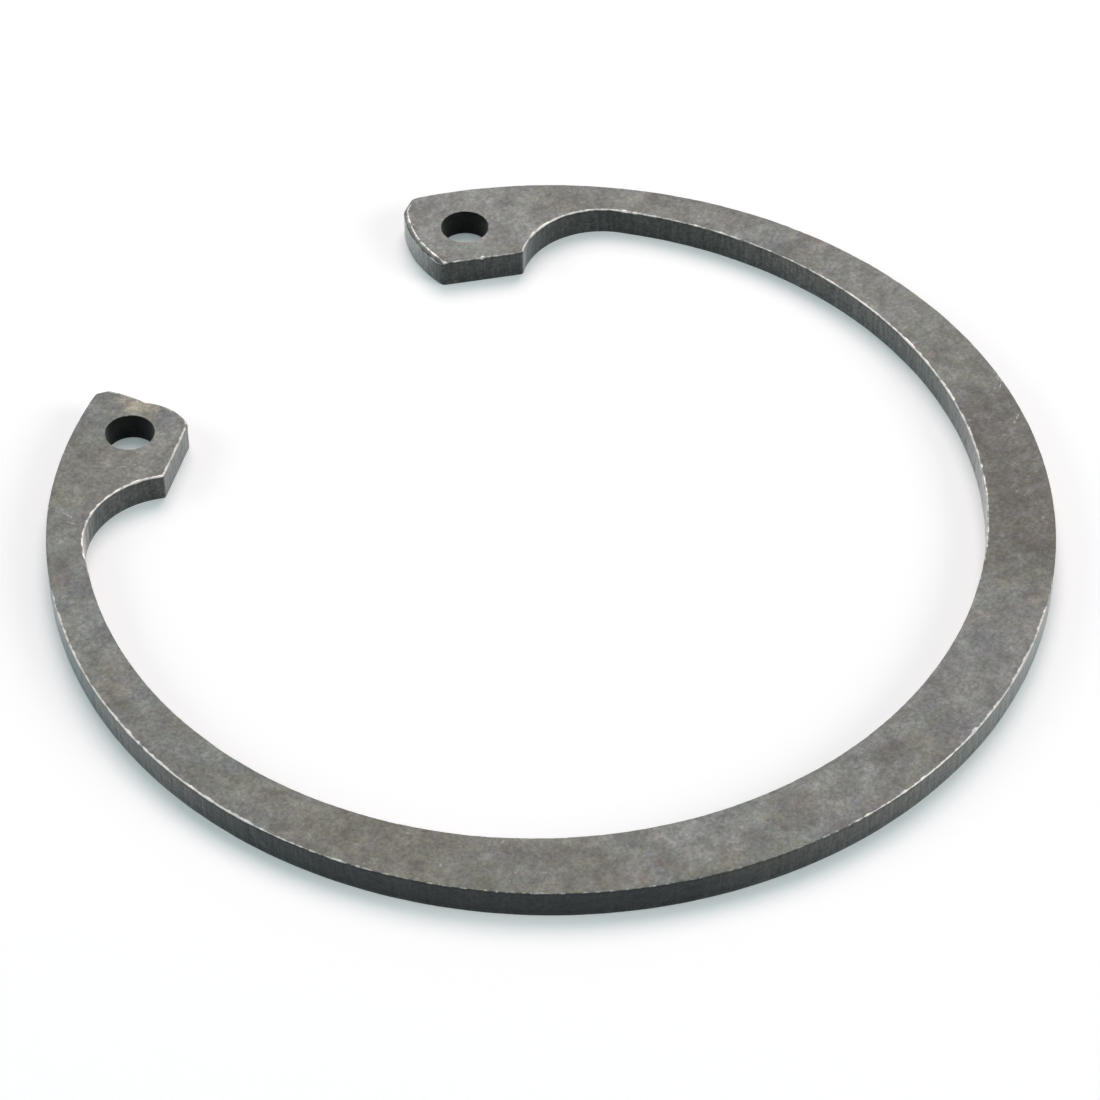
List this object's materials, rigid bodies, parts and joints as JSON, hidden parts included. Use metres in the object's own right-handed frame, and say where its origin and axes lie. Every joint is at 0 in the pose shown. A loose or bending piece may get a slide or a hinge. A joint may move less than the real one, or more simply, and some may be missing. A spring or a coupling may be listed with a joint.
{
  "type": "internal retaining ring",
  "caption": "Internal retaining ring: an open, tapered spring-steel ring that pliers squeeze by its drilled lugs to seat it in a groove inside a bore.",
  "frame": {"origin": "centre of the outer rim's circle, half way through the thickness", "axes": "+Z along the ring's axis, up from the floor that it lies on; +Y from the centre towards the gap between the lugs; +X across the gap"},
  "size_m": [0.0642, 0.0609, 0.002],
  "materials": {
    "phosphated_spring_steel": "matt phosphated, worn bright along the edges"
  },
  "bodies": {
    "root": {"retaining_ring": "phosphated_spring_steel"}
  },
  "joints": []
}
